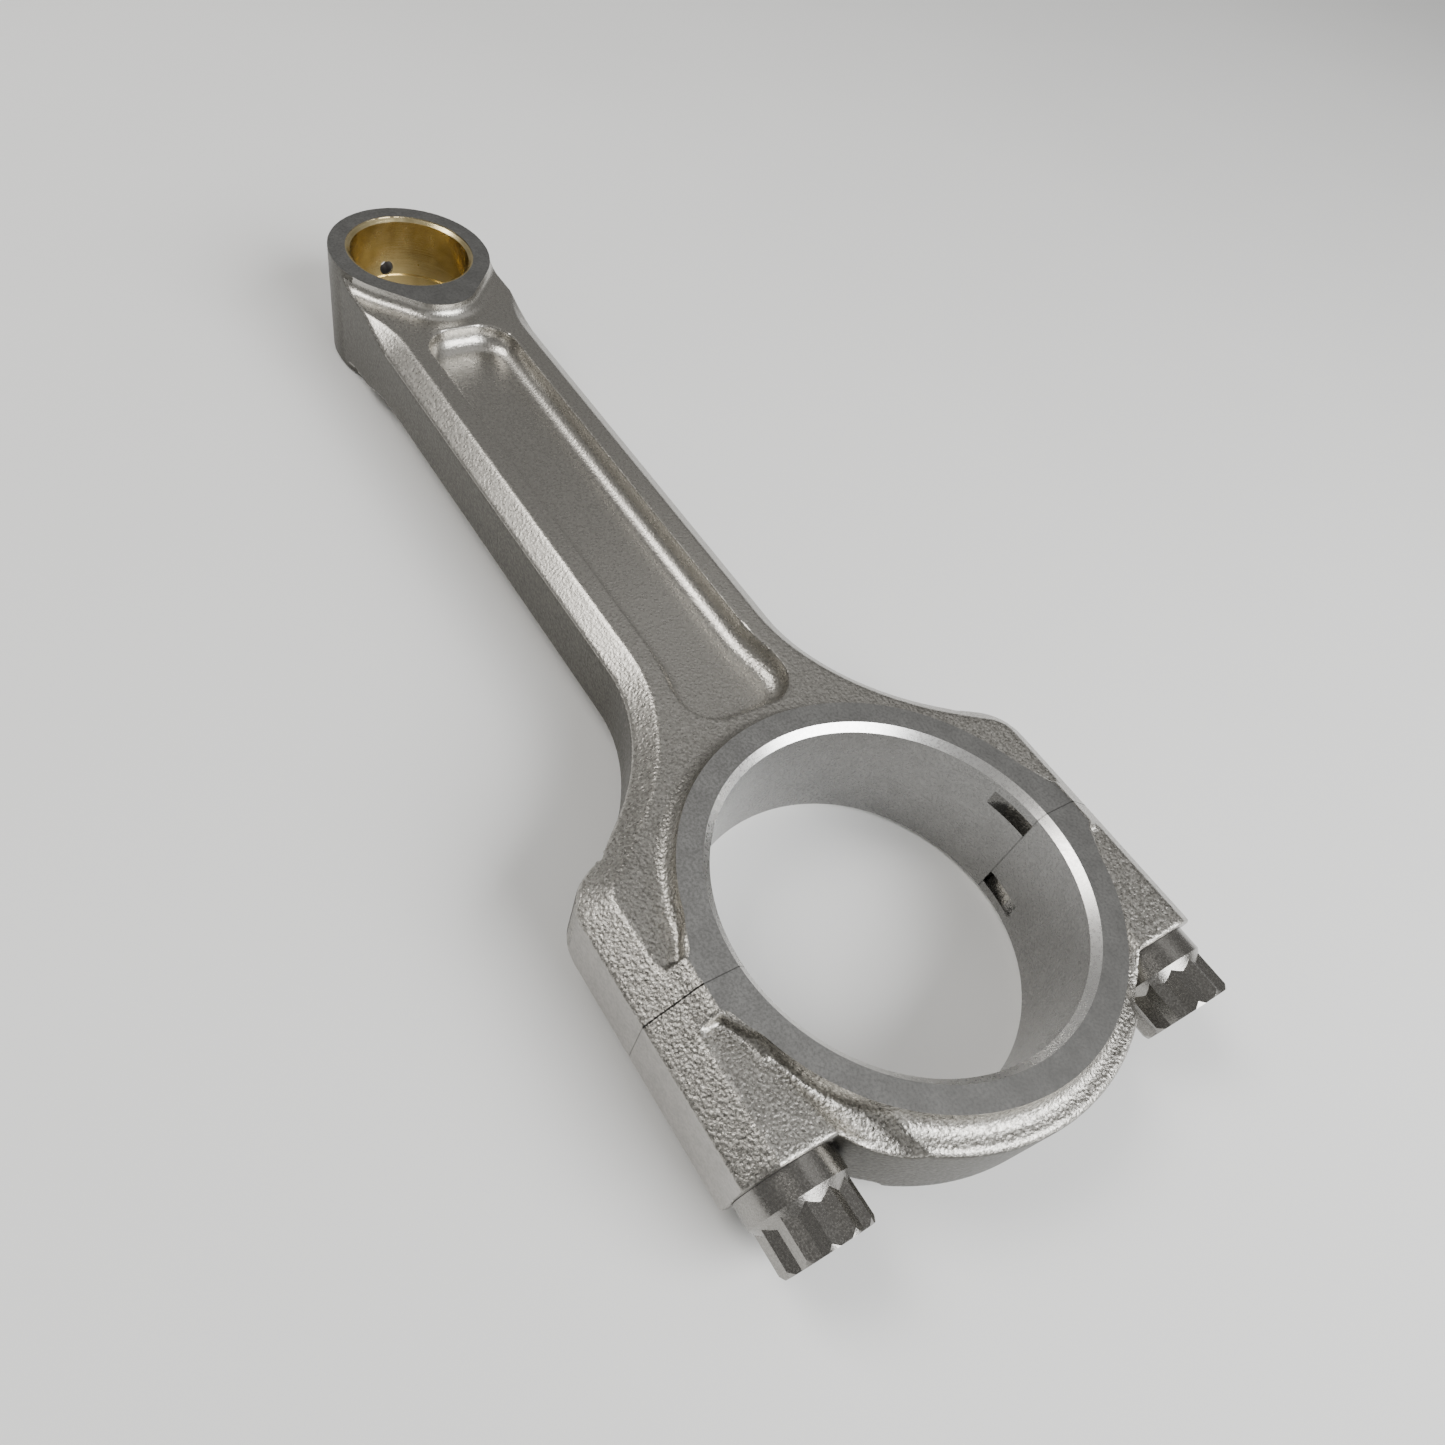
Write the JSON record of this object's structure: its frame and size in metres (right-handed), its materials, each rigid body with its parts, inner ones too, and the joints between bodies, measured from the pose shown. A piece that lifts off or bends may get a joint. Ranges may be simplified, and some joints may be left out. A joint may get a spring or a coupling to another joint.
{
  "type": "connecting rod",
  "caption": "Forged steel I-beam connecting rod with a split, bolted big end, a dowelled bearing cap and a pressed bronze bush in the small end.",
  "frame": {"origin": "centre of the big-end bore at mid width, on the split plane between rod and cap", "axes": "+X along the beam from the big-end centre to the small-end centre, +Z along both bores, +Y across the bolts to the left bolt; lying flat with the bores upright"},
  "size_m": [0.201, 0.0782, 0.02],
  "materials": {
    "peened_steel": "forged alloy steel, shot-peened outside, machined satin on the thrust faces and honed in the bore",
    "bronze": "turned bronze, satin",
    "dark_bolt_steel": "dark oxide over machined alloy steel, semi-gloss",
    "dowel_steel": "ground steel"
  },
  "bodies": {
    "rod": {"rod_body": "peened_steel", "small_end_bush": "bronze", "dowel_sleeve_left": "dowel_steel", "dowel_sleeve_right": "dowel_steel"},
    "cap": {"bearing_cap": "peened_steel"},
    "left_bolt": {"cap_bolt_left": "dark_bolt_steel"},
    "right_bolt": {"cap_bolt_right": "dark_bolt_steel"}
  },
  "joints": [
    {"name": "cap_removal", "type": "slide", "parent": "rod", "child": "cap", "axis": [-1, 0, 0], "range_m": [0, 0.03]},
    {"name": "left_bolt_removal", "type": "slide", "parent": "cap", "child": "left_bolt", "axis": [-1, 0, 0], "range_m": [0, 0.042]},
    {"name": "right_bolt_removal", "type": "slide", "parent": "cap", "child": "right_bolt", "axis": [-1, 0, 0], "range_m": [0, 0.042]}
  ]
}
